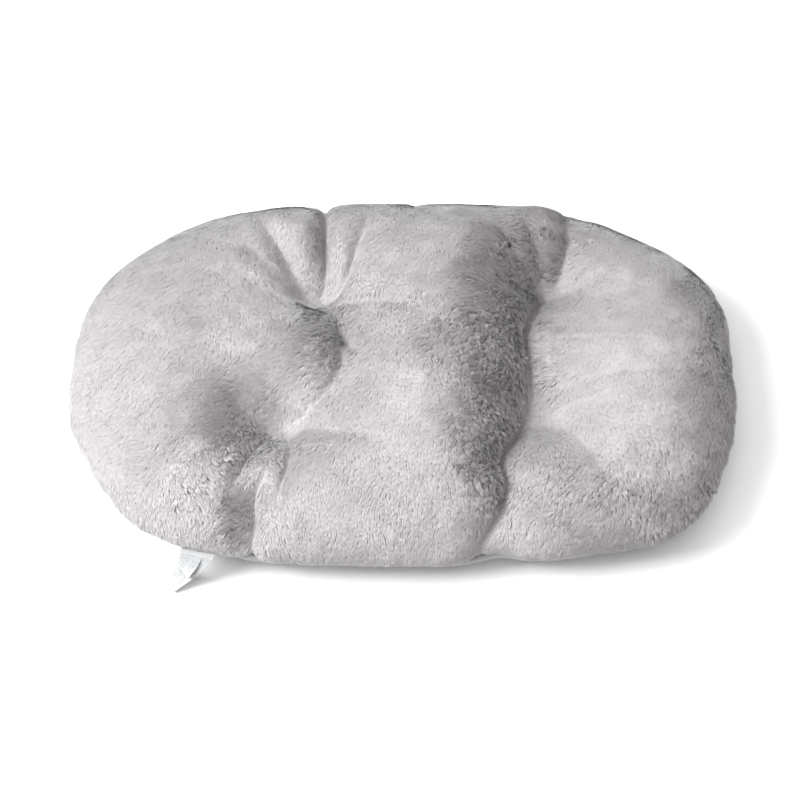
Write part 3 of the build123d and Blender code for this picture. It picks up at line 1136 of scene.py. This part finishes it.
def make_label(name, hinge, along):
    """A thin satin label that comes out of the seam, hangs over the edge and levels out to the floor."""
    length, width, turn, shift, droop_start, droop_end, lower = LABELS[name]
    outward = np.array((along[1], -along[0], 0))
    turn = math.radians(turn)
    heading = outward * math.cos(turn) - along * math.sin(turn)
    sideways = np.array((-heading[1], heading[0], 0))
    rows = round(length / LABEL_CELL)
    cols = round(width / LABEL_CELL)
    tail_rows = round(LABEL_TAIL / LABEL_CELL)
    center = hinge + along * shift - (0, 0, lower)
    half_root = along * width / 2 / math.cos(turn - LABEL_SLANT)
    across = np.linspace(-1, 1, cols + 1)[:, None]
    points = []
    for row in range(-tail_rows, 0):
        points.append(center + outward * row * LABEL_CELL + half_root * across)
    for row in range(rows + 1):
        share = row / rows
        half = half_root + (sideways * width / 2 - half_root) * share
        curl = LABEL_CURL * share * across**2 + LABEL_WAVE * math.sin(3 * math.pi * share) * across
        points.append(center + half * across + (0, 0, 1) * curl)
        droop = math.radians(droop_start + (droop_end - droop_start) * share)
        center = center + (heading * math.cos(droop) - (0, 0, math.sin(droop))) * LABEL_CELL
    points = np.array(points)
    points[..., 2] = np.maximum(points[..., 2], LABEL_CLOTH)
    index = np.arange(points[..., 0].size).reshape(points.shape[:2])
    obj = make_mesh(name + "_satin", points.reshape(-1, 3), grid_faces(index))
    printed = []
    for row in range(points.shape[0] - 1):
        for col in range(cols):
            printed.append(int(label_dashes((col + 0.5) / cols, (row - tail_rows + 0.5) / rows)))
    obj.data.polygons.foreach_set("material_index", printed)
    obj.data.shade_smooth()
    obj.data.materials.append(label_material("label_satin", (0.39, 0.39, 0.395), (0.47, 0.47, 0.475)))
    obj.data.materials.append(label_material("label_print", (0.13, 0.13, 0.135), (0.18, 0.18, 0.185)))
    thickened(obj, LABEL_CLOTH, 0)
    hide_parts(name)
    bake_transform(obj)


def label_material(name, dark, light):
    """Satin, which both labels share."""
    return bpy.data.materials.get(name) or cloth_material(
        name, dark, light, period=0.4 * MM, patch=9 * MM, roughness=0.38, relief=0.05 * MM, sheen=0.2)


# --- Stage ---

def make_floor():
    """A plain pale floor."""
    far = FLOOR_REACH
    corners = [(-far, -far, 0), (far, -far, 0), (far, far, 0), (-far, far, 0)]
    obj = make_mesh("floor", corners, [(0, 1, 2, 3)])
    obj.data.materials.append(new_material("floor_white", (0.93, 0.93, 0.93), 0.9)[0])


def make_light(name, place, size, power, color):
    """A square soft light that faces the origin."""
    light = bpy.data.lights.new(name, "AREA")
    light.color = color
    light.size = size
    light.energy = power
    obj = new_object(name, light)
    obj.location = place
    obj.rotation_euler = (-Vector(place)).to_track_quat("-Z", "Y").to_euler()


def make_lighting():
    """The lights, and a soft light from all round."""
    for light in LIGHTS:
        make_light(*light)
    world = bpy.data.worlds.new("soft_room")
    world.use_nodes = True
    background = world.node_tree.nodes["Background"]
    background.inputs["Color"].default_value = (1, 1, 1, 1)
    background.inputs["Strength"].default_value = ROOM_LIGHT
    bpy.context.scene.world = world


def make_camera():
    """The camera, in front of the cushion and looking down at it."""
    camera = bpy.data.cameras.new("camera")
    camera.lens = LENS
    camera.sensor_width = SENSOR
    obj = new_object("camera", camera)
    toward = Vector((0, -math.cos(LOOKING_DOWN), math.sin(LOOKING_DOWN)))
    up = Vector((0, math.sin(LOOKING_DOWN), math.cos(LOOKING_DOWN)))
    obj.location = CAMERA_AIM - up * CAMERA_LOWERED + toward * CAMERA_DISTANCE
    obj.rotation_euler = (-toward).to_track_quat("-Z", "Y").to_euler()
    bpy.context.scene.camera = obj


def main():
    """Makes everything."""
    bpy.context.scene.view_settings.view_transform = "Standard"
    make_camera()
    make_lighting()
    make_floor()
    top, under, outward = final_panels()
    surface = make_top_panel(top, outward)
    make_pile(surface)
    make_underside(under)
    make_filling(top, under, outward)
    make_tuft_threads(surface, under)
    make_seam_thread()
    make_opening_thread(top, under)
    flap = frame["record"]["behaviour"]["joints"][0]
    hinge = np.array(flap["pos_m"])
    along = -np.array(flap["axis"])
    for name in LABELS:
        make_label(name, hinge, along)


main()
